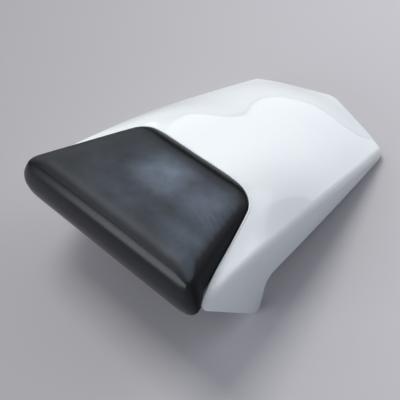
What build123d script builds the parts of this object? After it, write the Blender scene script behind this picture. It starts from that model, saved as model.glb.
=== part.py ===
# Seat cowl for the rear of a motorbike, with a moulded bump pad.
# Millimetres. X is across, Y runs to the tail, Z is up, and the cowl stands on Z = 0.
import os
from math import atan, cos, hypot

from build123d import *

# Overall sizes of the painted shell
overall_length = 387.0
wall = 3.0
front_half_width = 120.7
middle_half_width = 108.6
middle_at = 208.5
tail_half_width = 96.8
tail_corner_at = 346.5
side_lean = 2.6
tail_corner_radius = 12.0
apex_radius = 22.0
crease_radius = 10.0
skin_height = 170.0
skin_floor = -60.0
plan_lead = 30.0
view_margin = 20.0

# Side view of the shell: fins, lower edge and wing tips
fin_front = 85.5
fin_back = 92.5
fin_root_at = 104.5
fin_root_height = 41.0
tail_rest_at = 356.0
tip_at = 15.5
tip_height = 98.0
nose_height = 104.6
nose_slope = 0.4
nose_trim = 50.0
fin_root_radius = 14.0
fin_toe_radius = 3.0
tip_radius = 5.0
flange_inner = 101.0
tip_solid_at = 44.0

# Bump pad
pad_split_height = 106.0
pad_front_half = 113.5
pad_back_half = 73.5
pad_back_at = 130.5
pad_front_corner = 15.0
pad_back_corner = 28.0
pad_draft = 11.0
pad_tuck = 8.0
pad_top_height = 137.0
pad_top_at = 28.5
pad_slope = 0.215
pad_depth = 33.0
pad_edge_radius = 8.0
pad_waist_radius = 30.0
chin_radius = 8.0
chin_start = 95.0
chin_thickness = 22.0
chin_end_height = 40.0
pad_gap = 1.0
rim_radius = 0.7
pad_rise = 60.0
pad_sink = 80.0

# Pad fixings, driven up through the floor of the pocket
screw_shank = 5.0
screw_reach = 13.0
screw_head = 10.5
screw_head_depth = 3.5
screw_clearance = 5.6
washer_outer = 18.0
washer_thickness = 1.5
anchor_outer = 14.0
anchor_collar = 24.0
anchor_collar_depth = 3.0
anchor_length = 16.0
bore_spare = 1.0
screw_spots = [(-60.0, -34.0), (60.0, -34.0), (-44.0, 30.0), (44.0, 30.0)]
screw_centre_at = 80.0

# Latch plate and loop at the front, tongue at the tail
latch_at = 88.0
latch_width = 92.0
latch_depth = 34.0
plate_thickness = 3.0
plate_corner = 8.0
latch_bolt_spread = 33.0
latch_seat_height = 72.0
loop_rod = 8.0
loop_spread = 18.0
loop_drop = 34.0
loop_bend = 9.0
tongue_at = 276.0
tongue_width = 40.0
tongue_corner = 6.0
tongue_seat_half = 14.0
tongue_bend_trim = 1.2
tongue_bolt_spread = 12.0
tongue_seat_height = 26.0
tongue_reach = 52.0
tongue_step = 9.0
bolt_shank = 6.0
bolt_clearance = 6.6
bolt_flats = 10.0
bolt_head_depth = 5.0
bolt_flange = 13.0
bolt_flange_depth = 1.2
bolt_reach = 11.0
insert_outer = 9.0
insert_length = 10.0
boss_outer = 17.0

# Rubber buffers that bear on the seat frame
buffer_outer = 22.0
buffer_depth = 11.0
buffer_stem = 8.0
buffer_stem_length = 9.0
post_outer = 18.0
front_buffer_at = 104.0
front_buffer_spread = 66.0
front_post_height = 60.0
rear_buffer_at = 226.0
rear_buffer_spread = 56.0
rear_post_height = 43.0

# Stiffening ribs under the skin
rib_thickness = 2.4
rib_depth = 9.0
rib_spread = 34.0
rib_front = 142.0
rib_back = 318.0
cross_rib_spots = [168.0, 252.0]

origin_shift = overall_length / 2
chevron_angle = atan((overall_length - tail_corner_at) / tail_half_width)
apex_at = overall_length + apex_radius * (1.0 / cos(chevron_angle) - 1.0)


def at(distance):
    return distance - origin_shift


# Smooth top of the cowl: where it is, half width at the crease, crease height, centre height,
# and the share of the crown that is kept at the two points between centre and crease
skin_stations = [
    (2.0, 115.6, 98.3, 104.5, 0.93, 0.55),
    (45.0, 114.0, 107.3, 115.0, 0.93, 0.55),
    (90.0, 112.2, 97.0, 117.5, 0.93, 0.55),
    (128.5, 110.3, 86.6, 117.0, 0.93, 0.55),
    (210.0, 105.0, 62.5, 91.0, 0.88, 0.50),
    (300.0, 97.3, 31.5, 54.5, 0.77, 0.42),
    (345.0, 92.7, 15.2, 34.4, 0.68, 0.34),
    (392.0, 86.8, -2.2, 11.2, 0.52, 0.25),
]
inner_point = 0.5
outer_point = 0.78
skirt_reach = 1.3
skirt_fall = 0.55
slope_allowance = 1.06


def skin_solid(drop):
    with BuildPart() as skin:
        for where, half, crease, centre, inner_share, outer_share in skin_stations:
            crown = centre - crease
            low = crease - drop
            right = [
                (inner_point * half, low + inner_share * crown),
                (outer_point * half, low + outer_share * crown),
                (half, low),
                (skirt_reach * half, low - skirt_fall * crown),
            ]
            left = [(-x, z) for x, z in reversed(right)]
            rim = left + [(0.0, low + crown)] + right
            with BuildSketch(Plane.XZ.offset(-at(where))):
                with BuildLine():
                    Spline(*rim)
                    Polyline(rim[-1], (skirt_reach * half, skin_floor),
                             (-skirt_reach * half, skin_floor), rim[0])
                make_face()
        loft()
    return skin.part


def body_solid(inset):
    with BuildPart() as body:
        with BuildSketch() as outline:
            with BuildLine():
                Polyline((-front_half_width, at(-plan_lead)), (front_half_width, at(-plan_lead)),
                         (front_half_width, at(0.0)))
                ThreePointArc((front_half_width, at(0.0)), (middle_half_width, at(middle_at)),
                              (tail_half_width, at(tail_corner_at)))
                Polyline((tail_half_width, at(tail_corner_at)), (0.0, at(apex_at)),
                         (-tail_half_width, at(tail_corner_at)))
                ThreePointArc((-tail_half_width, at(tail_corner_at)),
                              (-middle_half_width, at(middle_at)), (-front_half_width, at(0.0)))
                Line((-front_half_width, at(0.0)), (-front_half_width, at(-plan_lead)))
            make_face()
            corners = outline.vertices().filter_by(lambda v: abs(v.Y - at(tail_corner_at)) < 0.1)
            fillet(corners, tail_corner_radius)
            apex = outline.vertices().sort_by(Axis.Y)[-1]
            fillet(apex, apex_radius)
            if inset > 0:
                offset(amount=-inset, mode=Mode.REPLACE)
        extrude(amount=skin_height, taper=side_lean)
        add(skin_solid(inset * slope_allowance), mode=Mode.INTERSECT)
    return body.part


def side_profile():
    nose_at = tip_at - (nose_height - tip_height) * (fin_front - tip_at) / tip_height
    with BuildPart() as profile:
        with BuildSketch(Plane.YZ) as side:
            with BuildLine():
                Polyline((at(nose_at), nose_height), (at(fin_front), 0.0), (at(fin_back), 0.0),
                         (at(fin_root_at), fin_root_height), (at(tail_rest_at), 0.0),
                         (at(overall_length + view_margin), 0.0),
                         (at(overall_length + view_margin), skin_height),
                         (at(nose_trim), skin_height),
                         (at(nose_trim), nose_height + nose_slope * (nose_trim - nose_at)), close=True)
            make_face()
            root = side.vertices().filter_by(lambda v: abs(v.Y - fin_root_height) < 0.1)
            fillet(root, fin_root_radius)
            toes = side.vertices().filter_by(lambda v: abs(v.Y) < 0.1 and v.X < at(fin_back + 1.0))
            fillet(toes, fin_toe_radius)
            nose = side.vertices().filter_by(lambda v: abs(v.Y - nose_height) < 0.1)
            fillet(nose, tip_radius)
        extrude(amount=front_half_width + view_margin, both=True)
    return profile.part


def pad_profile(grow, headroom):
    fall = (fin_front - tip_at) / hypot(fin_front - tip_at, tip_height)
    drop = tip_height / hypot(fin_front - tip_at, tip_height)
    chin_run = (chin_start - chin_end_height) / drop + grow
    chin_foot = (fall * chin_run, chin_start - drop * chin_run)
    thick = chin_thickness + grow
    back_foot = (chin_foot[0] + drop * thick, chin_foot[1] + fall * thick)
    back_start = (drop * thick, chin_start + fall * thick)
    steep = drop / fall
    floor_zero = pad_top_height + pad_slope * pad_top_at - pad_depth - grow
    knee_at = (back_start[1] + steep * back_start[0] - floor_zero) / (steep - pad_slope)
    knee = (knee_at, floor_zero - pad_slope * knee_at)
    far = pad_back_at + plan_lead
    near = -plan_lead
    top_zero = pad_top_height + pad_slope * pad_top_at + headroom
    with BuildPart() as profile:
        with BuildSketch(Plane.YZ):
            with BuildLine():
                Polyline((at(near), top_zero - pad_slope * near), (at(far), top_zero - pad_slope * far),
                         (at(far), floor_zero - pad_slope * far), (at(knee[0]), knee[1]),
                         (at(back_foot[0]), back_foot[1]), (at(chin_foot[0]), chin_foot[1]),
                         (at(near), chin_start - steep * near), close=True)
            make_face()
        extrude(amount=front_half_width + view_margin, both=True)
    return profile.part


def pad_block(spread, grow, headroom, lead):
    front_half = pad_front_half + lead * (pad_front_half - pad_back_half) / pad_back_at
    with BuildPart() as block:
        with BuildSketch(Plane.XY.offset(pad_split_height)) as plan:
            with BuildLine():
                Polyline((-front_half, at(-lead)), (front_half, at(-lead)),
                         (pad_back_half, at(pad_back_at)), (-pad_back_half, at(pad_back_at)), close=True)
            make_face()
            fillet(plan.vertices().group_by(Axis.Y)[0], pad_front_corner)
            fillet(plan.vertices().group_by(Axis.Y)[-1], pad_back_corner)
            if spread > 0:
                offset(amount=spread, mode=Mode.REPLACE)
        extrude(plan.sketch, amount=pad_rise, taper=pad_draft)
        extrude(plan.sketch, amount=-pad_sink, taper=pad_tuck)
        waist = block.edges().filter_by(lambda e: abs(e.center().Z - pad_split_height) < 0.01)
        fillet(waist, pad_waist_radius)
        add(pad_profile(grow, headroom), mode=Mode.INTERSECT)
    return block.part


def crease_edges(body):
    top = body.faces().filter_by(lambda f: f.normal_at().Z > 0.5).sort_by(SortBy.AREA)[-1]
    return top.edges().sort_by(Axis.Y)[1:]


def rim_edges(body):
    top = body.faces().filter_by(lambda f: f.normal_at().Z > 0.5).sort_by(SortBy.AREA)[-1]
    return top.edges().filter_by(lambda e: e.center().Y < at(pad_back_at))


def front_edge_fill():
    back = hypot(fin_front - tip_at, tip_height)
    step = wall * back / tip_height
    run = (fin_front - tip_at) / tip_height
    with BuildPart() as fill:
        with BuildSketch(Plane.YZ):
            with BuildLine():
                Polyline((at(fin_front + 5.0 * run), -5.0), (at(fin_front + 5.0 * run) + step, -5.0),
                         (at(tip_solid_at), (fin_front + step - tip_solid_at) / run),
                         (at(tip_solid_at), skin_height), (at(-40.0), skin_height), close=True)
            make_face()
        extrude(amount=front_half_width + view_margin, both=True)
        with Locations((0, 0, 0)):
            Box(2 * flange_inner, 2 * overall_length, 2 * skin_height, mode=Mode.SUBTRACT)
    return fill.part


# Hollow inside the shell, kept clear of the pocket walls and the fin front edges
with BuildPart() as hollow:
    add(body_solid(wall))
    fillet(crease_edges(hollow.part), crease_radius - wall)
    add(pad_block(pad_gap + wall, wall, pad_depth, plan_lead), mode=Mode.SUBTRACT)
    add(front_edge_fill(), mode=Mode.SUBTRACT)

# Bosses, buffer posts and ribs that hang from the inside of the skin
floor_zero = pad_top_height + pad_slope * pad_top_at - pad_depth
post_pairs = [
    (latch_bolt_spread, latch_at, latch_seat_height, boss_outer),
    (tongue_bolt_spread, tongue_at, tongue_seat_height, boss_outer),
    (front_buffer_spread, front_buffer_at, front_post_height, post_outer),
    (rear_buffer_spread, rear_buffer_at, rear_post_height, post_outer),
]
with BuildPart() as ribs:
    for side in (-1, 1):
        with Locations((side * rib_spread, at((rib_front + rib_back) / 2), 0)):
            Box(rib_thickness, rib_back - rib_front, 2 * skin_height)
    for spot in cross_rib_spots:
        with Locations((0, at(spot), 0)):
            Box(2 * front_half_width, rib_thickness, 2 * skin_height)
    add(skin_solid(wall + rib_depth), mode=Mode.SUBTRACT)
with BuildPart() as inside:
    for spread, where, height, outer in post_pairs:
        with BuildSketch(Plane.XY.offset(height)):
            with Locations((-spread, at(where)), (spread, at(where))):
                Circle(outer / 2)
        extrude(amount=skin_height - height)
    add(ribs.part)
    add(body_solid(wall / 2), mode=Mode.INTERSECT)
    add(pad_block(pad_gap + wall / 2, wall / 2, pad_depth, plan_lead), mode=Mode.SUBTRACT)

# Painted shell: lofted skin, leaning sides, fins and the pocket for the pad
floor_plane = Plane(
    origin=(0, at(screw_centre_at), floor_zero - pad_slope * screw_centre_at),
    x_dir=(1, 0, 0),
    z_dir=(0, pad_slope, 1),
)
with BuildPart() as cowl_shell:
    add(body_solid(0.0))
    fillet(crease_edges(cowl_shell.part), crease_radius)
    add(pad_block(pad_gap, 0.0, pad_depth, plan_lead), mode=Mode.SUBTRACT)
    fillet(rim_edges(cowl_shell.part), rim_radius)
    add(side_profile(), mode=Mode.INTERSECT)
    add(hollow.part, mode=Mode.SUBTRACT)
    add(inside.part)
    with BuildSketch(floor_plane):
        with Locations(*screw_spots):
            Circle(screw_clearance / 2)
    extrude(amount=2 * wall, both=True, mode=Mode.SUBTRACT)
    for spread, where, height in ((latch_bolt_spread, latch_at, latch_seat_height),
                                  (tongue_bolt_spread, tongue_at, tongue_seat_height)):
        with BuildSketch(Plane.XY.offset(height)):
            with Locations((-spread, at(where)), (spread, at(where))):
                Circle(insert_outer / 2)
        extrude(amount=insert_length, mode=Mode.SUBTRACT)
    for spread, where, height in ((front_buffer_spread, front_buffer_at, front_post_height),
                                  (rear_buffer_spread, rear_buffer_at, rear_post_height)):
        with BuildSketch(Plane.XY.offset(height)):
            with Locations((-spread, at(where)), (spread, at(where))):
                Circle(buffer_stem / 2)
        extrude(amount=buffer_stem_length + bore_spare, mode=Mode.SUBTRACT)

# Nylon anchors moulded into the pad, one for each screw
with BuildPart() as anchor_forms:
    with BuildSketch(floor_plane):
        with Locations(*screw_spots):
            Circle(anchor_outer / 2)
    extrude(amount=anchor_length)
    with BuildSketch(floor_plane.offset(anchor_length / 2)):
        with Locations(*screw_spots):
            Circle(anchor_collar / 2)
    extrude(amount=anchor_collar_depth)
with BuildPart() as pad_anchors:
    add(anchor_forms.part)
    with BuildSketch(floor_plane):
        with Locations(*screw_spots):
            Circle(screw_shank / 2)
    extrude(amount=screw_reach + bore_spare, mode=Mode.SUBTRACT)

# Bump pad: one moulding with a top slab and a chin that follows the fins
with BuildPart() as bump_pad:
    add(pad_block(0.0, 0.0, 0.0, 0.0))
    roof = bump_pad.faces().filter_by(lambda f: f.normal_at(f.center()).Z > 0.9).sort_by(Axis.Z)[-1]
    fillet(roof.edges(), pad_edge_radius)
    chin = bump_pad.faces().filter_by(GeomType.PLANE)
    chin = chin.filter_by(lambda f: f.normal_at(f.center()).Y < -0.5 and f.normal_at(f.center()).Z < -0.3)
    chin_rim = chin.sort_by(SortBy.AREA)[-1].edges()
    fillet(chin_rim.filter_by(lambda e: e.center().Z > chin_end_height + 1.0), chin_radius)
    add(anchor_forms.part, mode=Mode.SUBTRACT)

# Pan-head screws and plain washers under the pocket floor
with BuildPart() as pad_washers:
    with BuildSketch(floor_plane.offset(-wall)):
        with Locations(*screw_spots):
            Circle(washer_outer / 2)
            Circle(screw_clearance / 2, mode=Mode.SUBTRACT)
    extrude(amount=-washer_thickness)
with BuildPart() as pad_screws:
    with BuildSketch(floor_plane.offset(-wall - washer_thickness)):
        with Locations(*screw_spots):
            Circle(screw_head / 2)
    extrude(amount=-screw_head_depth)
    with BuildSketch(floor_plane.offset(-wall - washer_thickness)):
        with Locations(*screw_spots):
            Circle(screw_shank / 2)
    extrude(amount=wall + washer_thickness + screw_reach)

# Latch plate with the welded loop that the seat lock grips
with BuildPart() as latch_plate:
    with BuildSketch(Plane.XY.offset(latch_seat_height)):
        with Locations((0, at(latch_at))):
            RectangleRounded(latch_width, latch_depth, plate_corner)
        with Locations((-latch_bolt_spread, at(latch_at)), (latch_bolt_spread, at(latch_at))):
            Circle(bolt_clearance / 2, mode=Mode.SUBTRACT)
        with Locations((-loop_spread, at(latch_at)), (loop_spread, at(latch_at))):
            Circle(loop_rod / 2, mode=Mode.SUBTRACT)
    extrude(amount=-plate_thickness)
with BuildPart() as latch_loop:
    with BuildLine(Plane.XZ.offset(-at(latch_at))) as bend:
        FilletPolyline((-loop_spread, latch_seat_height),
                       (-loop_spread, latch_seat_height - plate_thickness - loop_drop),
                       (loop_spread, latch_seat_height - plate_thickness - loop_drop),
                       (loop_spread, latch_seat_height), radius=loop_bend)
    with BuildSketch(Plane.XY.offset(latch_seat_height)):
        with Locations((-loop_spread, at(latch_at))):
            Circle(loop_rod / 2)
    sweep()

# Tongue at the tail, joggled down so that it slides under the frame
with BuildPart() as tail_tongue:
    with BuildSketch(Plane.YZ):
        with BuildLine():
            top = tongue_seat_height
            low = top - tongue_step
            seat_front = tongue_at - tongue_seat_half
            seat_back = tongue_at + tongue_seat_half
            under_bend = seat_back - tongue_bend_trim
            Polyline((at(seat_front), top), (at(seat_back), top),
                     (at(seat_back + tongue_step), low), (at(tongue_at + tongue_reach), low),
                     (at(tongue_at + tongue_reach), low - plate_thickness),
                     (at(under_bend + tongue_step), low - plate_thickness),
                     (at(under_bend), top - plate_thickness),
                     (at(seat_front), top - plate_thickness), close=True)
        make_face()
    extrude(amount=tongue_width / 2, both=True)
    corners = tail_tongue.edges().filter_by(Axis.Z)
    fillet(corners, tongue_corner)
    with BuildSketch(Plane.XY.offset(tongue_seat_height)):
        with Locations((-tongue_bolt_spread, at(tongue_at)), (tongue_bolt_spread, at(tongue_at))):
            Circle(bolt_clearance / 2)
    extrude(amount=-plate_thickness, mode=Mode.SUBTRACT)

# Brass inserts in the bosses and the flanged bolts that hold plate and tongue
fixed_plates = [(latch_bolt_spread, latch_at, latch_seat_height),
                (tongue_bolt_spread, tongue_at, tongue_seat_height)]
with BuildPart() as boss_inserts:
    for spread, where, height in fixed_plates:
        with BuildSketch(Plane.XY.offset(height)):
            with Locations((-spread, at(where)), (spread, at(where))):
                Circle(insert_outer / 2)
                Circle(bolt_shank / 2, mode=Mode.SUBTRACT)
        extrude(amount=insert_length)
with BuildPart() as plate_bolts:
    for spread, where, height in fixed_plates:
        spots = [(-spread, at(where)), (spread, at(where))]
        with BuildSketch(Plane.XY.offset(height - plate_thickness)):
            with Locations(*spots):
                Circle(bolt_flange / 2)
        extrude(amount=-bolt_flange_depth)
        with BuildSketch(Plane.XY.offset(height - plate_thickness - bolt_flange_depth)):
            with Locations(*spots):
                RegularPolygon(bolt_flats / 2, 6, major_radius=False)
        extrude(amount=-bolt_head_depth)
        with BuildSketch(Plane.XY.offset(height - plate_thickness)):
            with Locations(*spots):
                Circle(bolt_shank / 2)
        extrude(amount=bolt_reach)

# Rubber buffers pressed into the posts
with BuildPart() as rubber_buffers:
    for spread, where, height in ((front_buffer_spread, front_buffer_at, front_post_height),
                                  (rear_buffer_spread, rear_buffer_at, rear_post_height)):
        spots = [(-spread, at(where)), (spread, at(where))]
        with BuildSketch(Plane.XY.offset(height)):
            with Locations(*spots):
                Circle(buffer_outer / 2)
        extrude(amount=-buffer_depth)
        with BuildSketch(Plane.XY.offset(height)):
            with Locations(*spots):
                Circle(buffer_stem / 2)
        extrude(amount=buffer_stem_length)

pieces = {
    "cowl_shell": cowl_shell,
    "bump_pad": bump_pad,
    "pad_anchors": pad_anchors,
    "pad_screws": pad_screws,
    "pad_washers": pad_washers,
    "latch_plate": latch_plate,
    "latch_loop": latch_loop,
    "tail_tongue": tail_tongue,
    "boss_inserts": boss_inserts,
    "plate_bolts": plate_bolts,
    "rubber_buffers": rubber_buffers,
}
os.makedirs("parts", exist_ok=True)
for name, piece in pieces.items():
    piece.part.label = name
    export_step(piece.part, "parts/" + name + ".step")
    print(name, round(piece.part.volume), piece.part.is_valid, len(piece.part.solids()))
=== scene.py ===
# A seat cowl for the rear of a motorbike: a gloss white moulding with a black bump pad in its front.
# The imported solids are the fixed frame, in metres: X across, Y to the tail, and the floor at Z = 0.
import math
import bpy
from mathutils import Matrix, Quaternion, Vector


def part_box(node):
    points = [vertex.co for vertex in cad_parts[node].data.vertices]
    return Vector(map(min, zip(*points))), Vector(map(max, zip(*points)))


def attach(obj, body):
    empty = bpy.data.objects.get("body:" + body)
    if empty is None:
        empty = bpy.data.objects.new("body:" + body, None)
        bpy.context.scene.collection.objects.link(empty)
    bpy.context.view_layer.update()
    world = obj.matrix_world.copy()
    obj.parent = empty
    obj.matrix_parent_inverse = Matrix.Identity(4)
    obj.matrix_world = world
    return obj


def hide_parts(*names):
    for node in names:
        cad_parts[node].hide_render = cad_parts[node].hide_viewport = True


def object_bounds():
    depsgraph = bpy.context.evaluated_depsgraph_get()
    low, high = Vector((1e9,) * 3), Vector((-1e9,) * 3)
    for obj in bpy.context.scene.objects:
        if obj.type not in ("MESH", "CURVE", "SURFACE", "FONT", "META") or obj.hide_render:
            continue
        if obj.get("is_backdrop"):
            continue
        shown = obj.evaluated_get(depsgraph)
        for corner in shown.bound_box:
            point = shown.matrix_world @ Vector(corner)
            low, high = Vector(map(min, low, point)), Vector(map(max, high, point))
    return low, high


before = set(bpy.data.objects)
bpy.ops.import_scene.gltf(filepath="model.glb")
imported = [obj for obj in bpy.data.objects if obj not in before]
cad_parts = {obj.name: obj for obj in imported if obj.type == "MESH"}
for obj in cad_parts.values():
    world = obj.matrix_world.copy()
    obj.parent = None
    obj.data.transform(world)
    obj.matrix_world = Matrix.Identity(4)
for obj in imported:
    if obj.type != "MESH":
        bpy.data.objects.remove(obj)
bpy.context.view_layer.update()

# Cowl shell: one injection moulding in ABS, sprayed white outside and left bare inside.
# The clear lacquer gives sharp reflections with a trace of orange peel, and the bare inside,
# with its ribs and bosses, is a satin grey moulding.
MM = 0.001
PAINT_WHITE = "F3F8FA"
PAINT_SHADE = "EEF4F8"
PAINT_CLOUD_SIZE = 90 * MM
PAINT_ROUGHNESS = 0.32
PAINT_IOR = 1.3
LACQUER_ROUGHNESS = 0.04
LACQUER_IOR = 1.45
ORANGE_PEEL_SIZE = 2.5 * MM
ORANGE_PEEL_DEPTH = 0.2 * MM
ORANGE_PEEL_STRENGTH = 0.03
BARE_ABS = "B9BCBD"
BARE_ROUGHNESS = 0.55

# A Mix node's sockets share their names, so they are told apart by number.
FLOAT_A = 2
FLOAT_B = 3
COLOUR_A = 6
COLOUR_B = 7
MIXED_COLOUR = 2


# An sRGB hex colour as linear red, green, blue and alpha.
def linear(colour):
    parts = [int(colour[i:i + 2], 16) / 255 for i in (0, 2, 4)]
    steps = [c / 12.92 if c <= 0.04045 else ((c + 0.055) / 1.055) ** 2.4 for c in parts]
    return (*steps, 1.0)


# A setting is a property of the node or the value of one of its sockets, and a link feeds a socket.
def add_node(tree, kind, settings=None, links=None):
    node = tree.nodes.new(kind)
    for name, value in (settings or {}).items():
        if isinstance(name, str) and hasattr(node, name):
            setattr(node, name, value)
        else:
            node.inputs[name].default_value = value
    for socket, source in (links or {}).items():
        tree.links.new(source, node.inputs[socket])
    return node


def new_material(name):
    material = bpy.data.materials.new(name)
    material.use_nodes = True
    tree = material.node_tree
    tree.nodes.clear()
    return material, tree


def finish_node(name, material):
    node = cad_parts[name]
    node.data.materials[0] = material


lacquered_abs, tree = new_material("white_lacquered_abs")
place = add_node(tree, "ShaderNodeTexCoord").outputs["Object"]
normal = add_node(tree, "ShaderNodeNewGeometry").outputs["Normal"]
spot = add_node(tree, "ShaderNodeSeparateXYZ", None, {0: place})
tilt = add_node(tree, "ShaderNodeSeparateXYZ", None, {0: normal})

# Spray reaches a face that looks away from a line under the middle of the shell, if the face also looks
# up or stands outboard of the fins' inner faces.
AXIS_DEPTH = 20 * MM
FACING_LEAST = 0.08
TILT_LEAST = 0.04
SIDE_TAPER = 0.086
SIDE_LEAST = 92 * MM
axis = add_node(tree, "ShaderNodeVectorMath", {"operation": "MULTIPLY", 1: (1, 0, 1)}, {0: place})
axis = add_node(tree, "ShaderNodeVectorMath", {"operation": "ADD", 1: (0, 0, AXIS_DEPTH)},
                {0: axis.outputs[0]})
axis = add_node(tree, "ShaderNodeVectorMath", {"operation": "NORMALIZE"}, {0: axis.outputs[0]})
facing = add_node(tree, "ShaderNodeVectorMath", {"operation": "DOT_PRODUCT"},
                  {0: axis.outputs[0], 1: normal})
outward = add_node(tree, "ShaderNodeMath", {"operation": "GREATER_THAN", 1: FACING_LEAST},
                   {0: facing.outputs["Value"]})
upward = add_node(tree, "ShaderNodeMath", {"operation": "GREATER_THAN", 1: TILT_LEAST},
                  {0: tilt.outputs["Z"]})
aside = add_node(tree, "ShaderNodeMath", {"operation": "ABSOLUTE"}, {0: spot.outputs["X"]})
aside = add_node(tree, "ShaderNodeMath", {"operation": "MULTIPLY_ADD", 1: SIDE_TAPER},
                 {0: spot.outputs["Y"], 2: aside.outputs[0]})
outboard = add_node(tree, "ShaderNodeMath", {"operation": "GREATER_THAN", 1: SIDE_LEAST},
                    {0: aside.outputs[0]})
shown = add_node(tree, "ShaderNodeMath", {"operation": "MAXIMUM"},
                 {0: upward.outputs[0], 1: outboard.outputs[0]})
shown = add_node(tree, "ShaderNodeMath", {"operation": "MULTIPLY"},
                 {0: shown.outputs[0], 1: outward.outputs[0]})

# It also reaches the edges at the tail and at the tips of the wings, which look out from the middle.
END_LEAST = 150 * MM
END_FACING = 0.42
plan = add_node(tree, "ShaderNodeVectorMath", {"operation": "MULTIPLY", 1: (1, 1, 0)}, {0: place})
reach = add_node(tree, "ShaderNodeVectorMath", {"operation": "LENGTH"}, {0: plan.outputs[0]})
at_end = add_node(tree, "ShaderNodeMath", {"operation": "GREATER_THAN", 1: END_LEAST},
                  {0: reach.outputs["Value"]})
away = add_node(tree, "ShaderNodeVectorMath", {"operation": "NORMALIZE"}, {0: plan.outputs[0]})
end_on = add_node(tree, "ShaderNodeVectorMath", {"operation": "DOT_PRODUCT"},
                  {0: away.outputs[0], 1: normal})
end_on = add_node(tree, "ShaderNodeMath", {"operation": "GREATER_THAN", 1: END_FACING},
                  {0: end_on.outputs["Value"]})
end_face = add_node(tree, "ShaderNodeMath", {"operation": "MULTIPLY"},
                    {0: at_end.outputs[0], 1: end_on.outputs[0]})
painted = add_node(tree, "ShaderNodeMath", {"operation": "MAXIMUM"},
                   {0: shown.outputs[0], 1: end_face.outputs[0]}).outputs[0]

cloud = add_node(tree, "ShaderNodeTexNoise", {"Scale": 1 / PAINT_CLOUD_SIZE, "Detail": 2.0},
                 {"Vector": place})
paint = add_node(tree, "ShaderNodeMix",
                 {"data_type": "RGBA", COLOUR_A: linear(PAINT_WHITE), COLOUR_B: linear(PAINT_SHADE)},
                 {0: cloud.outputs["Fac"]})
colour = add_node(tree, "ShaderNodeMix", {"data_type": "RGBA", COLOUR_A: linear(BARE_ABS)},
                  {0: painted, COLOUR_B: paint.outputs[MIXED_COLOUR]})
rough = add_node(tree, "ShaderNodeMix", {FLOAT_A: BARE_ROUGHNESS, FLOAT_B: PAINT_ROUGHNESS}, {0: painted})
peel = add_node(tree, "ShaderNodeTexNoise", {"Scale": 1 / ORANGE_PEEL_SIZE, "Detail": 1.0},
                {"Vector": place})
bump = add_node(tree, "ShaderNodeBump",
                {"Strength": ORANGE_PEEL_STRENGTH, "Distance": ORANGE_PEEL_DEPTH},
                {"Height": peel.outputs["Fac"]})
shader = add_node(tree, "ShaderNodeBsdfPrincipled",
                  {"IOR": PAINT_IOR, "Coat Roughness": LACQUER_ROUGHNESS, "Coat IOR": LACQUER_IOR},
                  {"Base Color": colour.outputs[MIXED_COLOUR], "Roughness": rough.outputs[0],
                   "Coat Weight": painted, "Coat Normal": bump.outputs[0]})
add_node(tree, "ShaderNodeOutputMaterial", None, {"Surface": shader.outputs[0]})
finish_node("cowl_shell", lacquered_abs)

# Rim lip: the shell's edge is rolled into a fine rounded lip all round the pad's pocket.
# It is laid along the edge as a bevelled curve, found by looking in at the pad from all round it,
# painted with the shell, and fades out towards the tips of the wings.
LIP_RADIUS = 1.1 * MM
LIP_SET_OUT = 1.9 * MM
LIP_SINK = 0.45 * MM
LIP_LOWEST = 100 * MM
LIP_STEP = math.radians(1.5)
LIP_FADE_POINTS = 8
LIP_BEVEL_STEPS = 3
LIP_CURVE_STEPS = 4
POCKET_MIDDLE = 75 * MM
LOOK_HEIGHT = 112 * MM
LOOK_FROM = 300 * MM
LOOK_ROUNDS = 3
DROP_FROM = 200 * MM
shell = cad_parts["cowl_shell"]
pad_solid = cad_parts["bump_pad"]
pad_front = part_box("bump_pad")[0][1]
lip_middle = Vector((0.0, pad_front + POCKET_MIDDLE, 0.0))


def lip_point(turn):
    way = Vector((math.sin(turn), math.cos(turn), 0.0))
    height = LOOK_HEIGHT
    for _ in range(LOOK_ROUNDS):
        start = lip_middle + way * LOOK_FROM + Vector((0.0, 0.0, height))
        hit, wall = pad_solid.ray_cast(start, -way)[:2]
        if not hit:
            return None
        edge = wall + way * LIP_SET_OUT
        above = Vector((edge.x, edge.y, DROP_FROM))
        hit, top = shell.ray_cast(above, Vector((0.0, 0.0, -1.0)))[:2]
        if not hit or top.z < LIP_LOWEST:
            return None
        height = min(LOOK_HEIGHT, top.z)
    return top - Vector((0.0, 0.0, LIP_SINK))


lip_halves = []
for side in (-1, 1):
    half = []
    turn = 0.0
    while turn < math.pi:
        point = lip_point(side * turn)
        if point is None:
            break
        half.append(point)
        turn += LIP_STEP
    lip_halves.append(half)
lip_route = lip_halves[0][:0:-1] + lip_halves[1]
lip_curve = bpy.data.curves.new("rim_lip", "CURVE")
lip_curve.dimensions = "3D"
lip_curve.bevel_depth = LIP_RADIUS
lip_curve.bevel_resolution = LIP_BEVEL_STEPS
lip_curve.resolution_u = LIP_CURVE_STEPS
lip_curve.use_fill_caps = True
spline = lip_curve.splines.new("NURBS")
spline.points.add(len(lip_route) - 1)
for number, place_on_rim in enumerate(lip_route):
    point = spline.points[number]
    point.co = (*place_on_rim, 1.0)
    from_end = min(number, len(lip_route) - 1 - number)
    point.radius = min(1.0, (from_end + 1) / LIP_FADE_POINTS)
spline.order_u = 3
spline.use_endpoint_u = True
rim_lip = bpy.data.objects.new("rim_lip", lip_curve)
bpy.context.scene.collection.objects.link(rim_lip)
bpy.ops.object.select_all(action="DESELECT")
rim_lip.select_set(True)
bpy.context.view_layer.objects.active = rim_lip
bpy.ops.object.convert(target="MESH")
rim_lip = bpy.context.active_object
bpy.ops.object.shade_smooth()
rim_lip.data.materials.clear()
rim_lip.data.materials.append(lacquered_abs)
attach(rim_lip, "root")

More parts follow.
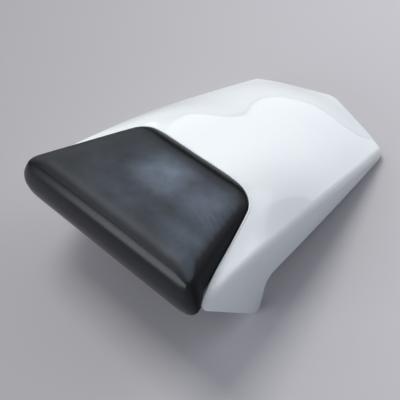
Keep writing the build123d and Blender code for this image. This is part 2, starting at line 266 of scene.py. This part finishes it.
# Boss inserts: four turned brass bushes, pressed hot into the bosses under the shell.
# Fine turning lines round the axis break the yellow metal's shine into bands.
# A wave texture at scale 1 repeats about every WAVE_PERIOD metres.
BRASS_LIGHT = "C39A4E"
BRASS_DARK = "9C7636"
BRASS_ROUGHNESS = (0.22, 0.38)
TARNISH_SIZE = 4 * MM
TURNING_PITCH = 0.5 * MM
TURNING_DEPTH = 0.05 * MM
TURNING_STRENGTH = 0.3
WAVE_PERIOD = 0.314
turned_brass, tree = new_material("turned_brass")
place = add_node(tree, "ShaderNodeTexCoord").outputs["Object"]
lines = add_node(tree, "ShaderNodeTexWave",
                 {"wave_type": "BANDS", "bands_direction": "Z", "Scale": WAVE_PERIOD / TURNING_PITCH,
                  "Distortion": 0.6}, {"Vector": place})
tarnish = add_node(tree, "ShaderNodeTexNoise", {"Scale": 1 / TARNISH_SIZE, "Detail": 3.0},
                   {"Vector": place})
colour = add_node(tree, "ShaderNodeMix",
                  {"data_type": "RGBA", COLOUR_A: linear(BRASS_LIGHT), COLOUR_B: linear(BRASS_DARK)},
                  {0: tarnish.outputs["Fac"]})
rough = add_node(tree, "ShaderNodeMapRange",
                 {"To Min": BRASS_ROUGHNESS[0], "To Max": BRASS_ROUGHNESS[1]},
                 {"Value": lines.outputs["Fac"]})
bump = add_node(tree, "ShaderNodeBump", {"Strength": TURNING_STRENGTH, "Distance": TURNING_DEPTH},
                {"Height": lines.outputs["Fac"]})
shader = add_node(tree, "ShaderNodeBsdfPrincipled", {"Metallic": 1.0},
                  {"Base Color": colour.outputs[MIXED_COLOUR], "Roughness": rough.outputs[0],
                   "Normal": bump.outputs[0]})
add_node(tree, "ShaderNodeOutputMaterial", None, {"Surface": shader.outputs[0]})
finish_node("boss_inserts", turned_brass)

# Latch plate and tail tongue: pressed steel, bolted up under the shell, in satin black powder coat.
# The coat has the soft ripple of powder, a little dust in it and a dull shine.
COAT_BLACK = "141416"
COAT_DUST = "26272A"
COAT_ROUGHNESS = (0.36, 0.58)
COAT_IOR = 1.5
DUST_SIZE = 30 * MM
RIPPLE_SIZE = 1.6 * MM
RIPPLE_DEPTH = 0.08 * MM
RIPPLE_STRENGTH = 0.25
powder_coat, tree = new_material("satin_black_powder_coat")
place = add_node(tree, "ShaderNodeTexCoord").outputs["Object"]
ripple = add_node(tree, "ShaderNodeTexNoise", {"Scale": 1 / RIPPLE_SIZE, "Detail": 2.0},
                  {"Vector": place})
dust = add_node(tree, "ShaderNodeTexNoise", {"Scale": 1 / DUST_SIZE, "Detail": 6.0}, {"Vector": place})
colour = add_node(tree, "ShaderNodeMix",
                  {"data_type": "RGBA", COLOUR_A: linear(COAT_BLACK), COLOUR_B: linear(COAT_DUST)},
                  {0: dust.outputs["Fac"]})
rough = add_node(tree, "ShaderNodeMapRange",
                 {"To Min": COAT_ROUGHNESS[0], "To Max": COAT_ROUGHNESS[1]},
                 {"Value": dust.outputs["Fac"]})
bump = add_node(tree, "ShaderNodeBump", {"Strength": RIPPLE_STRENGTH, "Distance": RIPPLE_DEPTH},
                {"Height": ripple.outputs["Fac"]})
shader = add_node(tree, "ShaderNodeBsdfPrincipled", {"IOR": COAT_IOR},
                  {"Base Color": colour.outputs[MIXED_COLOUR], "Roughness": rough.outputs[0],
                   "Normal": bump.outputs[0]})
add_node(tree, "ShaderNodeOutputMaterial", None, {"Surface": shader.outputs[0]})
finish_node("latch_plate", powder_coat)
finish_node("tail_tongue", powder_coat)

# Latch loop, bolts, washers and screws: steel in bright zinc plate, bought in by the box.
# The plating shows faint patches where its crystals turn and a dull bloom between them.
ZINC_BRIGHT = "CDD1D6"
ZINC_DULL = "A6ABB2"
ZINC_ROUGHNESS = (0.20, 0.42)
CRYSTAL_SIZE = 2.2 * MM
ZINC_BLOOM_SIZE = 9 * MM
zinc_plate, tree = new_material("bright_zinc_plated_steel")
place = add_node(tree, "ShaderNodeTexCoord").outputs["Object"]
crystal = add_node(tree, "ShaderNodeTexVoronoi", {"Scale": 1 / CRYSTAL_SIZE}, {"Vector": place})
facet = add_node(tree, "ShaderNodeSeparateXYZ", None, {0: crystal.outputs["Color"]})
bloom = add_node(tree, "ShaderNodeTexNoise", {"Scale": 1 / ZINC_BLOOM_SIZE, "Detail": 5.0},
                 {"Vector": place})
mottle = add_node(tree, "ShaderNodeMath", {"operation": "MULTIPLY"},
                  {0: facet.outputs["X"], 1: bloom.outputs["Fac"]}).outputs[0]
colour = add_node(tree, "ShaderNodeMix",
                  {"data_type": "RGBA", COLOUR_A: linear(ZINC_BRIGHT), COLOUR_B: linear(ZINC_DULL)},
                  {0: mottle})
rough = add_node(tree, "ShaderNodeMapRange",
                 {"To Min": ZINC_ROUGHNESS[0], "To Max": ZINC_ROUGHNESS[1]}, {"Value": mottle})
shader = add_node(tree, "ShaderNodeBsdfPrincipled", {"Metallic": 1.0},
                  {"Base Color": colour.outputs[MIXED_COLOUR], "Roughness": rough.outputs[0]})
add_node(tree, "ShaderNodeOutputMaterial", None, {"Surface": shader.outputs[0]})
for zinc_node in ("latch_loop", "plate_bolts", "pad_washers", "pad_screws"):
    finish_node(zinc_node, zinc_plate)

# Rubber buffers: moulded black feet that bear on the seat frame, pressed by their stems into posts.
# Rubber is near black, dull and a little grey where bloom has come to the surface.
RUBBER_BLACK = "151516"
RUBBER_BLOOM = "2A2A2B"
RUBBER_ROUGHNESS = (0.62, 0.85)
RUBBER_IOR = 1.5
RUBBER_BLOOM_SIZE = 8 * MM
RUBBER_GRAIN_SIZE = 0.7 * MM
RUBBER_GRAIN_DEPTH = 0.06 * MM
RUBBER_GRAIN_STRENGTH = 0.25
moulded_rubber, tree = new_material("moulded_black_rubber")
place = add_node(tree, "ShaderNodeTexCoord").outputs["Object"]
bloom = add_node(tree, "ShaderNodeTexNoise", {"Scale": 1 / RUBBER_BLOOM_SIZE, "Detail": 5.0},
                 {"Vector": place})
grain = add_node(tree, "ShaderNodeTexNoise", {"Scale": 1 / RUBBER_GRAIN_SIZE, "Detail": 2.0},
                 {"Vector": place})
colour = add_node(tree, "ShaderNodeMix",
                  {"data_type": "RGBA", COLOUR_A: linear(RUBBER_BLACK), COLOUR_B: linear(RUBBER_BLOOM)},
                  {0: bloom.outputs["Fac"]})
rough = add_node(tree, "ShaderNodeMapRange",
                 {"To Min": RUBBER_ROUGHNESS[0], "To Max": RUBBER_ROUGHNESS[1]},
                 {"Value": bloom.outputs["Fac"]})
bump = add_node(tree, "ShaderNodeBump",
                {"Strength": RUBBER_GRAIN_STRENGTH, "Distance": RUBBER_GRAIN_DEPTH},
                {"Height": grain.outputs["Fac"]})
shader = add_node(tree, "ShaderNodeBsdfPrincipled", {"IOR": RUBBER_IOR},
                  {"Base Color": colour.outputs[MIXED_COLOUR], "Roughness": rough.outputs[0],
                   "Normal": bump.outputs[0]})
add_node(tree, "ShaderNodeOutputMaterial", None, {"Surface": shader.outputs[0]})
finish_node("rubber_buffers", moulded_rubber)

# Pad anchors: natural nylon bosses moulded into the underside of the pad, which take the screws.
# Nylon is a milky off-white with a soft shine and slightly clouded by the moulding.
NYLON_PALE = "DEDACB"
NYLON_CLOUD = "CFC9B6"
NYLON_ROUGHNESS = (0.38, 0.52)
NYLON_IOR = 1.53
NYLON_CLOUD_SIZE = 6 * MM
natural_nylon, tree = new_material("moulded_natural_nylon")
place = add_node(tree, "ShaderNodeTexCoord").outputs["Object"]
cloud = add_node(tree, "ShaderNodeTexNoise", {"Scale": 1 / NYLON_CLOUD_SIZE, "Detail": 3.0},
                 {"Vector": place})
colour = add_node(tree, "ShaderNodeMix",
                  {"data_type": "RGBA", COLOUR_A: linear(NYLON_PALE), COLOUR_B: linear(NYLON_CLOUD)},
                  {0: cloud.outputs["Fac"]})
rough = add_node(tree, "ShaderNodeMapRange",
                 {"To Min": NYLON_ROUGHNESS[0], "To Max": NYLON_ROUGHNESS[1]},
                 {"Value": cloud.outputs["Fac"]})
shader = add_node(tree, "ShaderNodeBsdfPrincipled", {"IOR": NYLON_IOR},
                  {"Base Color": colour.outputs[MIXED_COLOUR], "Roughness": rough.outputs[0]})
add_node(tree, "ShaderNodeOutputMaterial", None, {"Surface": shader.outputs[0]})
finish_node("pad_anchors", natural_nylon)

# Bump pad: moulded foam with a tough satin skin, set in the pocket at the front of the shell.
# Copied from its solid and remeshed fine, its front edge is turned over a wide roll, the edges are
# relaxed to the soft round of a moulding, and the top is crowned a little.
PAD_VOXEL = 2.4 * MM
MERGE_WITHIN = 0.01 * MM


def copy_of(node, name):
    bpy.ops.object.select_all(action="DESELECT")
    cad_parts[node].select_set(True)
    bpy.context.view_layer.objects.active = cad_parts[node]
    bpy.ops.object.duplicate()
    piece = bpy.context.active_object
    piece.name = name
    bpy.ops.object.mode_set(mode="EDIT")
    bpy.ops.mesh.select_all(action="SELECT")
    bpy.ops.mesh.customdata_custom_splitnormals_clear()
    bpy.ops.mesh.remove_doubles(threshold=MERGE_WITHIN)
    bpy.ops.object.mode_set(mode="OBJECT")
    return piece


moulded_pad = copy_of("bump_pad", "moulded_pad")
remesh = moulded_pad.modifiers.new("even_mesh", "REMESH")
remesh.mode = "VOXEL"
remesh.voxel_size = PAD_VOXEL
bpy.ops.object.modifier_apply(modifier="even_mesh")

# The roll: what stands past a round of this radius, between the top and the front face, is drawn in
# to it. Places are given as the step back from the pad's front and the height.
ROLL_RADIUS = 20 * MM
ROLL_CORNER = (6.8 * MM, 141.7 * MM)
TOP_WAY = (0.978, -0.21)
FRONT_WAY = (-0.19, -0.98)
PAD_RELAX = 17
RELAX_FACTOR = 0.5
middle_back = ROLL_CORNER[0] + ROLL_RADIUS * (TOP_WAY[0] + FRONT_WAY[0])
middle_up = ROLL_CORNER[1] + ROLL_RADIUS * (TOP_WAY[1] + FRONT_WAY[1])
for vertex in moulded_pad.data.vertices:
    spot = vertex.co
    back_step = spot.y - pad_front - middle_back
    up_step = spot.z - middle_up
    before_top = back_step * TOP_WAY[0] + up_step * TOP_WAY[1] < 0.0
    above_front = back_step * FRONT_WAY[0] + up_step * FRONT_WAY[1] < 0.0
    reach = math.hypot(back_step, up_step)
    if before_top and above_front and reach > ROLL_RADIUS:
        spot.y = pad_front + middle_back + back_step * ROLL_RADIUS / reach
        spot.z = middle_up + up_step * ROLL_RADIUS / reach
relax = moulded_pad.modifiers.new("relax", "SMOOTH")
relax.factor = RELAX_FACTOR
relax.iterations = PAD_RELAX
bpy.ops.object.modifier_apply(modifier="relax")

# The roll's two ends swell out to the tips of the wings, the top is crowned, and it falls away
# towards its side edges and its rear edge.
ROLL_END_REACH = 8 * MM
ROLL_END_FROM = 76 * MM
ROLL_END_FULL = 106 * MM
ROLL_END_NEAR = 4 * MM
ROLL_END_DEPTH = 24 * MM
ROLL_HEIGHT = 108 * MM
ROLL_CORE = 3 * MM
ROLL_BAND = 34 * MM
PAD_TOP_ZERO = 143.13 * MM
PAD_TOP_SLOPE = 0.215
PAD_TOP_DEPTH = 12 * MM
CROWN_RISE = 1.4 * MM
CROWN_HALF_WIDTH = 96 * MM
CROWN_MIDDLE = 66 * MM
CROWN_HALF_LENGTH = 60 * MM
EDGE_HALF_WIDTH = 108.8 * MM
EDGE_TAPER = 0.3065
EDGE_DROP = 3.2 * MM
EDGE_REACH = 20 * MM
REAR_EDGE_AT = 126 * MM
REAR_DROP = 2.4 * MM
PAD_SETTLE = 6


def soft_step(value, start, end):
    share = min(1.0, max(0.0, (value - start) / (end - start)))
    return share * share * (3.0 - 2.0 * share)


for vertex in moulded_pad.data.vertices:
    spot = vertex.co
    deep = spot.y - pad_front
    end = soft_step(abs(spot.x), ROLL_END_FROM, ROLL_END_FULL)
    near = 1.0 - soft_step(deep, ROLL_END_NEAR, ROLL_END_DEPTH)
    level = 1.0 - soft_step(abs(spot.z - ROLL_HEIGHT), ROLL_CORE, ROLL_BAND)
    spot.x += math.copysign(ROLL_END_REACH * end * near * level, spot.x)
    below_top = PAD_TOP_ZERO - PAD_TOP_SLOPE * deep - spot.z
    on_top = 1.0 - soft_step(below_top, 0.0, PAD_TOP_DEPTH)
    across = max(0.0, 1.0 - (spot.x / CROWN_HALF_WIDTH) ** 2)
    along = max(0.0, 1.0 - ((deep - CROWN_MIDDLE) / CROWN_HALF_LENGTH) ** 2)
    spot.z += CROWN_RISE * on_top * across * along
    from_side = EDGE_HALF_WIDTH - EDGE_TAPER * deep - abs(spot.x)
    side_drop = EDGE_DROP * (1.0 - soft_step(from_side, 0.0, EDGE_REACH))
    rear_drop = REAR_DROP * (1.0 - soft_step(REAR_EDGE_AT - deep, 0.0, EDGE_REACH))
    spot.z -= max(side_drop, rear_drop) * on_top
settle = moulded_pad.modifiers.new("settle", "SMOOTH")
settle.factor = RELAX_FACTOR
settle.iterations = PAD_SETTLE
bpy.ops.object.modifier_apply(modifier="settle")
fine = moulded_pad.modifiers.new("fine", "SUBSURF")
fine.levels = 1
fine.render_levels = 1
bpy.ops.object.modifier_apply(modifier="fine")
bpy.ops.object.shade_smooth()

# The skin is near black with a satin touch. On the flat of the top a blue-grey veil is painted in clouds
# round a few spots. It is partly a thin haze left by handling and partly a painted sheen that stands in
# for a lamp's reflection. Each spot is a middle and a reach in millimetres and an amount.
PAD_BLACK = "0E1013"
PAD_CHARCOAL = "14181D"
PAD_HAZE_AND_SHEEN = "788597"
PAD_IOR = 1.37
SCUFF_SIZE = 24 * MM
SCUFF_RANGE = (0.30, 0.70)
SCUFF_AMOUNT = (0.55, 1.25)
HAZE_AND_SHEEN_SPOTS = [
    ((2, -107, 126), 44, 0.50),
    ((66, -106, 124), 46, 0.42),
    ((84, -150, 134), 48, 0.36),
    ((10, -130, 131), 140, 0.21),
]
FLAT_TILT = (0.84, 0.985)
pad_skin, tree = new_material("satin_moulded_foam_skin")
place = add_node(tree, "ShaderNodeTexCoord").outputs["Object"]
normal = add_node(tree, "ShaderNodeNewGeometry").outputs["Normal"]
tilt = add_node(tree, "ShaderNodeSeparateXYZ", None, {0: normal})
patch = add_node(tree, "ShaderNodeTexNoise", {"Scale": 1 / SCUFF_SIZE, "Detail": 5.0},
                 {"Vector": place}).outputs["Fac"]
haze_and_sheen = None
for middle, reach, amount in HAZE_AND_SHEEN_SPOTS:
    away = add_node(tree, "ShaderNodeVectorMath",
                    {"operation": "DISTANCE", 1: [c * MM for c in middle]}, {0: place})
    sheen_veil = add_node(tree, "ShaderNodeMapRange",
                    {"interpolation_type": "SMOOTHSTEP", "From Min": 0.0, "From Max": reach * MM,
                     "To Min": amount, "To Max": 0.0}, {"Value": away.outputs["Value"]}).outputs[0]
    if haze_and_sheen:
        sheen_veil = add_node(tree, "ShaderNodeMath", {"operation": "ADD"}, {0: haze_and_sheen, 1: sheen_veil}).outputs[0]
    haze_and_sheen = sheen_veil
streak = add_node(tree, "ShaderNodeMapRange",
                  {"From Min": SCUFF_RANGE[0], "From Max": SCUFF_RANGE[1],
                   "To Min": SCUFF_AMOUNT[0], "To Max": SCUFF_AMOUNT[1]}, {"Value": patch}).outputs[0]
haze_and_sheen = add_node(tree, "ShaderNodeMath", {"operation": "MULTIPLY"}, {0: haze_and_sheen, 1: streak}).outputs[0]

# Fine arcs of scuffing lie where the painted haze and sheen is thick, round a middle well in front of the
# pad.
ARC_MIDDLE = (0 * MM, -330 * MM, 120 * MM)
ARC_SPACING = 6 * MM
ARC_CREST = 0.86
ARC_AMOUNT = 0.12
WORN_SIZE = 55 * MM
WORN_RANGE = (0.48, 0.62)
THICK_RANGE = (0.10, 0.40)
from_arc = add_node(tree, "ShaderNodeVectorMath", {"operation": "SUBTRACT", 1: ARC_MIDDLE}, {0: place})
arcs = add_node(tree, "ShaderNodeTexWave",
                {"wave_type": "RINGS", "rings_direction": "SPHERICAL",
                 "Scale": WAVE_PERIOD / ARC_SPACING, "Distortion": 6.0, "Detail": 2.0,
                 "Detail Scale": 0.35}, {"Vector": from_arc.outputs[0]})
arcs = add_node(tree, "ShaderNodeMapRange",
                {"From Min": ARC_CREST, "From Max": 1.0, "To Min": 0.0, "To Max": ARC_AMOUNT},
                {"Value": arcs.outputs["Fac"]}).outputs[0]
worn = add_node(tree, "ShaderNodeTexNoise", {"Scale": 1 / WORN_SIZE, "Detail": 3.0}, {"Vector": place})
worn = add_node(tree, "ShaderNodeMapRange", {"From Min": WORN_RANGE[0], "From Max": WORN_RANGE[1]},
                {"Value": worn.outputs["Fac"]}).outputs[0]
thick = add_node(tree, "ShaderNodeMapRange", {"From Min": THICK_RANGE[0], "From Max": THICK_RANGE[1]},
                 {"Value": haze_and_sheen}).outputs[0]
arcs = add_node(tree, "ShaderNodeMath", {"operation": "MULTIPLY"}, {0: arcs, 1: worn}).outputs[0]
arcs = add_node(tree, "ShaderNodeMath", {"operation": "MULTIPLY"}, {0: arcs, 1: thick}).outputs[0]
haze_and_sheen = add_node(tree, "ShaderNodeMath", {"operation": "ADD"}, {0: haze_and_sheen, 1: arcs}).outputs[0]
# The painted sheen and haze are kept to the upward-facing flat of the top.
flat_top = add_node(tree, "ShaderNodeMapRange",
                    {"interpolation_type": "SMOOTHSTEP", "From Min": FLAT_TILT[0],
                     "From Max": FLAT_TILT[1]}, {"Value": tilt.outputs["Z"]}).outputs[0]
haze_and_sheen = add_node(tree, "ShaderNodeMath", {"operation": "MULTIPLY", "use_clamp": True},
                {0: haze_and_sheen, 1: flat_top}).outputs[0]
colour = add_node(tree, "ShaderNodeMix",
                  {"data_type": "RGBA", COLOUR_A: linear(PAD_BLACK), COLOUR_B: linear(PAD_CHARCOAL)},
                  {0: patch})
# The blue-grey of the haze and painted sheen is mixed over the skin's own black.
colour = add_node(tree, "ShaderNodeMix", {"data_type": "RGBA", COLOUR_B: linear(PAD_HAZE_AND_SHEEN)},
                  {0: haze_and_sheen, COLOUR_A: colour.outputs[MIXED_COLOUR]})

# The roll at the front keeps a satin shine, the top is rubbed matt, and the sides and rear are dull.
SATIN_ROUGHNESS = (0.22, 0.29)
MATT_ROUGHNESS = (0.46, 0.60)
FORWARD_TILT = (-0.28, -0.56)
TURNED_TILT = (0.32, 0.75)
TURNED_DULLING = 0.35
GRAIN_SIZE = 0.9 * MM
GRAIN_DEPTH = 0.1 * MM
GRAIN_STRENGTH = 0.10
forward = add_node(tree, "ShaderNodeMapRange",
                   {"From Min": FORWARD_TILT[0], "From Max": FORWARD_TILT[1]},
                   {"Value": tilt.outputs["Y"]})
matt = add_node(tree, "ShaderNodeMapRange",
                {"To Min": MATT_ROUGHNESS[0], "To Max": MATT_ROUGHNESS[1]}, {"Value": patch})
satin = add_node(tree, "ShaderNodeMapRange",
                 {"To Min": SATIN_ROUGHNESS[0], "To Max": SATIN_ROUGHNESS[1]}, {"Value": patch})
rough = add_node(tree, "ShaderNodeMix", None,
                 {0: forward.outputs[0], FLOAT_A: matt.outputs[0], FLOAT_B: satin.outputs[0]})
sideways = add_node(tree, "ShaderNodeMath", {"operation": "ABSOLUTE"}, {0: tilt.outputs["X"]})
turned = add_node(tree, "ShaderNodeMath", {"operation": "MAXIMUM"},
                  {0: sideways.outputs[0], 1: tilt.outputs["Y"]})
turned = add_node(tree, "ShaderNodeMapRange",
                  {"From Min": TURNED_TILT[0], "From Max": TURNED_TILT[1], "To Min": 0.0,
                   "To Max": TURNED_DULLING}, {"Value": turned.outputs[0]})
rough = add_node(tree, "ShaderNodeMath", {"operation": "ADD"},
                 {0: rough.outputs[0], 1: turned.outputs[0]})
grain = add_node(tree, "ShaderNodeTexVoronoi", {"Scale": 1 / GRAIN_SIZE}, {"Vector": place})
bump = add_node(tree, "ShaderNodeBump", {"Strength": GRAIN_STRENGTH, "Distance": GRAIN_DEPTH},
                {"Height": grain.outputs["Distance"]})
shader = add_node(tree, "ShaderNodeBsdfPrincipled", {"IOR": PAD_IOR},
                  {"Base Color": colour.outputs[MIXED_COLOUR], "Roughness": rough.outputs[0],
                   "Normal": bump.outputs[0]})
add_node(tree, "ShaderNodeOutputMaterial", None, {"Surface": shader.outputs[0]})
moulded_pad.data.materials.clear()
moulded_pad.data.materials.append(pad_skin)
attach(moulded_pad, "root")
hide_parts("bump_pad")

# Floor: a plain pale sheet of matt paper with a faint lilac cast, wide enough to fill the view.
# A painted shade darkens it a little towards the front left, standing in for the light falling off there.
FLOOR_PALE = "D3D1D6"
FLOOR_PAINTED_SHADE = "A4A1A5"
FLOOR_RUN = 0.55
FLOOR_RUN_WAY = (0.78, 0.62, 0.0)
FLOOR_SIZE = 30.0
PAPER_ROUGHNESS = 0.9
PAPER_SPECULAR = 0.2
bpy.ops.object.select_all(action="DESELECT")
bpy.ops.mesh.primitive_plane_add(size=FLOOR_SIZE, location=(0, 0, 0))
floor = bpy.context.active_object
floor.name = "floor"
paper, tree = new_material("matt_paper")
place = add_node(tree, "ShaderNodeTexCoord").outputs["Object"]
across = add_node(tree, "ShaderNodeVectorMath", {"operation": "DOT_PRODUCT", 1: FLOOR_RUN_WAY},
                  {0: place})
# The painted shade runs smoothly from the shaded tone at the front left to the pale tone.
painted_falloff = add_node(tree, "ShaderNodeMapRange",
                {"interpolation_type": "SMOOTHSTEP", "From Min": -FLOOR_RUN, "From Max": FLOOR_RUN},
                {"Value": across.outputs["Value"]})
painted_falloff = add_node(tree, "ShaderNodeMix",
                {"data_type": "RGBA", COLOUR_A: linear(FLOOR_PAINTED_SHADE), COLOUR_B: linear(FLOOR_PALE)},
                {0: painted_falloff.outputs[0]})
shader = add_node(tree, "ShaderNodeBsdfPrincipled",
                  {"Roughness": PAPER_ROUGHNESS, "Specular IOR Level": PAPER_SPECULAR},
                  {"Base Color": painted_falloff.outputs[MIXED_COLOUR]})
add_node(tree, "ShaderNodeOutputMaterial", None, {"Surface": shader.outputs[0]})
floor.data.materials.append(paper)
floor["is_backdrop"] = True

# Lights: a wide soft panel behind, one to the left and a window in front, a key lamp high on the left,
# two small fills, and a dim even room. Each lamp is a name, its azimuth from the tail towards +X and its
# elevation in degrees, its distance, width and height in metres, its power in watts and its tint.
LAMPS = [
    ("window_panel", -9.0, 22.0, 2.6, 3.4, 2.1, 22.5, "FAFCFF"),
    ("left_panel", -74.0, 20.0, 2.6, 2.0, 1.5, 13.6, "FAFCFF"),
    ("front_window", -166.0, 14.0, 1.9, 1.3, 1.0, 17.0, "F2F7FF"),
    ("front_fill", -145.0, 46.0, 2.0, 0.9, 0.9, 4.0, "FBFDFF"),
    ("left_key", -85.0, 66.0, 2.0, 0.8, 0.8, 19.4, "FFFEF8"),
    ("right_lamp", 39.0, 46.0, 1.6, 1.1, 1.1, 4.0, "ECF3FF"),
]
LIGHT_AIM = Vector((0.0, 0.0, 0.06))
ROOM_COLOUR = "E4E9F2"
ROOM_STRENGTH = 0.21
for name, azimuth, elevation, distance, wide, high, power, tint in LAMPS:
    lamp = bpy.data.lights.new(name, "AREA")
    lamp.shape = "RECTANGLE"
    lamp.size = wide
    lamp.size_y = high
    lamp.energy = power
    lamp.color = linear(tint)[:3]
    turn = math.radians(azimuth)
    rise = math.radians(elevation)
    way = Vector((math.sin(turn) * math.cos(rise), math.cos(turn) * math.cos(rise), math.sin(rise)))
    holder = bpy.data.objects.new(name, lamp)
    holder.location = LIGHT_AIM + way * distance
    holder.rotation_mode = "QUATERNION"
    holder.rotation_quaternion = (-way).to_track_quat("-Z", "Y")
    holder.visible_camera = False
    bpy.context.scene.collection.objects.link(holder)
world = bpy.data.worlds.new("room")
bpy.context.scene.world = world
world.use_nodes = True
background = world.node_tree.nodes["Background"]
background.inputs["Color"].default_value = linear(ROOM_COLOUR)
background.inputs["Strength"].default_value = ROOM_STRENGTH

# Camera: the photograph's own angle, from above the front right, with its slight roll.
CAMERA_AZIMUTH = math.radians(43.338)
CAMERA_ELEVATION = math.radians(51.506)
CAMERA_ROLL = math.radians(-1.672)
CAMERA_LENS = 61.178
CAMERA_SENSOR = 36.0
CAMERA_PLACE = (0.30741, -0.38549, 0.60352)
back = Vector((math.sin(CAMERA_AZIMUTH) * math.cos(CAMERA_ELEVATION),
               -math.cos(CAMERA_AZIMUTH) * math.cos(CAMERA_ELEVATION),
               math.sin(CAMERA_ELEVATION)))
camera_data = bpy.data.cameras.new("camera")
camera_data.lens = CAMERA_LENS
camera_data.sensor_width = CAMERA_SENSOR
camera = bpy.data.objects.new("camera", camera_data)
camera.location = CAMERA_PLACE
camera.rotation_mode = "QUATERNION"
camera.rotation_quaternion = (-back).to_track_quat("-Z", "Y") @ Quaternion((0, 0, 1), CAMERA_ROLL)
bpy.context.scene.collection.objects.link(camera)
bpy.context.scene.camera = camera
bpy.context.scene.view_settings.view_transform = "Standard"

low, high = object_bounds()
